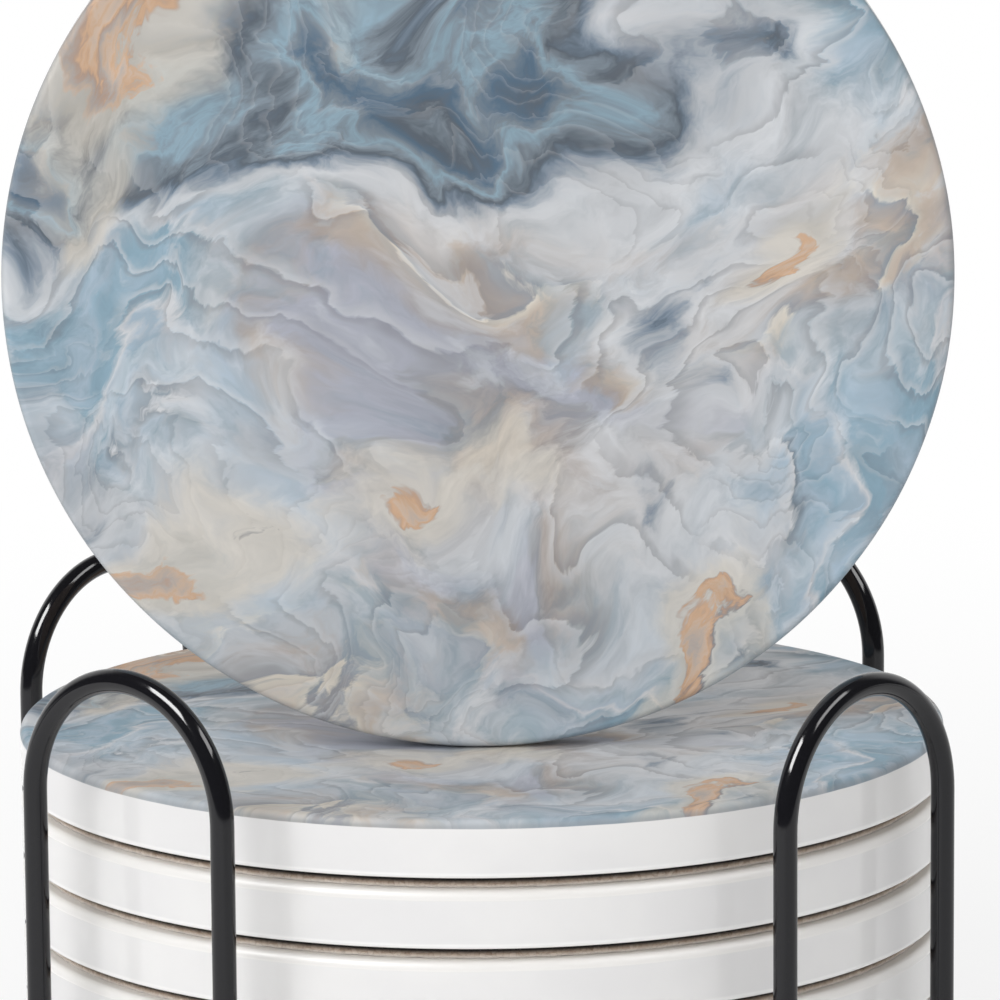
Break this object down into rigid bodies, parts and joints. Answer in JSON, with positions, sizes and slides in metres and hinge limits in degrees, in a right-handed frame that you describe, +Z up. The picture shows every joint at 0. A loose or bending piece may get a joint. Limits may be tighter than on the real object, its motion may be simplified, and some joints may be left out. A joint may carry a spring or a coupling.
{
  "type": "drink coaster set",
  "caption": "Round printed ceramic drink coasters with cork backs, stacked in an open rack of crossed bent-wire loops, with another coaster standing on its edge on top.",
  "frame": {"origin": "middle of the rack's base, on the surface that it stands on", "axes": "+Z up; +X and -X towards the hoops of the lower wire loop; +Y and -Y towards the hoops of the upper wire loop"},
  "size_m": [0.1102, 0.1102, 0.1418],
  "materials": {
    "black_wire": "glossy black coating on steel wire",
    "printed_ceramic": "white glazed sides, marbled print in pale blue, grey and peach on the face",
    "cork_backing": "fine-grained agglomerated cork"
  },
  "bodies": {
    "rack": {"wire_loop_lower": "black_wire", "wire_loop_upper": "black_wire"},
    "coaster_1": {"tile_1": "printed_ceramic", "cork_1": "cork_backing"},
    "coaster_2": {"tile_2": "printed_ceramic", "cork_2": "cork_backing"},
    "coaster_3": {"tile_3": "printed_ceramic", "cork_3": "cork_backing"},
    "coaster_4": {"tile_4": "printed_ceramic", "cork_4": "cork_backing"},
    "coaster_5": {"tile_5": "printed_ceramic", "cork_5": "cork_backing"},
    "coaster_upright": {"tile_upright": "printed_ceramic", "cork_upright": "cork_backing"}
  },
  "joints": [
    {"name": "coaster_1_lift", "type": "slide", "parent": "rack", "child": "coaster_1", "axis": [0, 0, 1], "range_m": [0, 0.06]},
    {"name": "coaster_2_lift", "type": "slide", "parent": "coaster_1", "child": "coaster_2", "axis": [0, 0, 1], "range_m": [0, 0.06]},
    {"name": "coaster_3_lift", "type": "slide", "parent": "coaster_2", "child": "coaster_3", "axis": [0, 0, 1], "range_m": [0, 0.06]},
    {"name": "coaster_4_lift", "type": "slide", "parent": "coaster_3", "child": "coaster_4", "axis": [0, 0, 1], "range_m": [0, 0.06]},
    {"name": "coaster_5_lift", "type": "slide", "parent": "coaster_4", "child": "coaster_5", "axis": [0, 0, 1], "range_m": [0, 0.06]},
    {"name": "coaster_upright_lift", "type": "slide", "parent": "coaster_5", "child": "coaster_upright", "axis": [0, 0, 1], "range_m": [0, 0.06]}
  ]
}
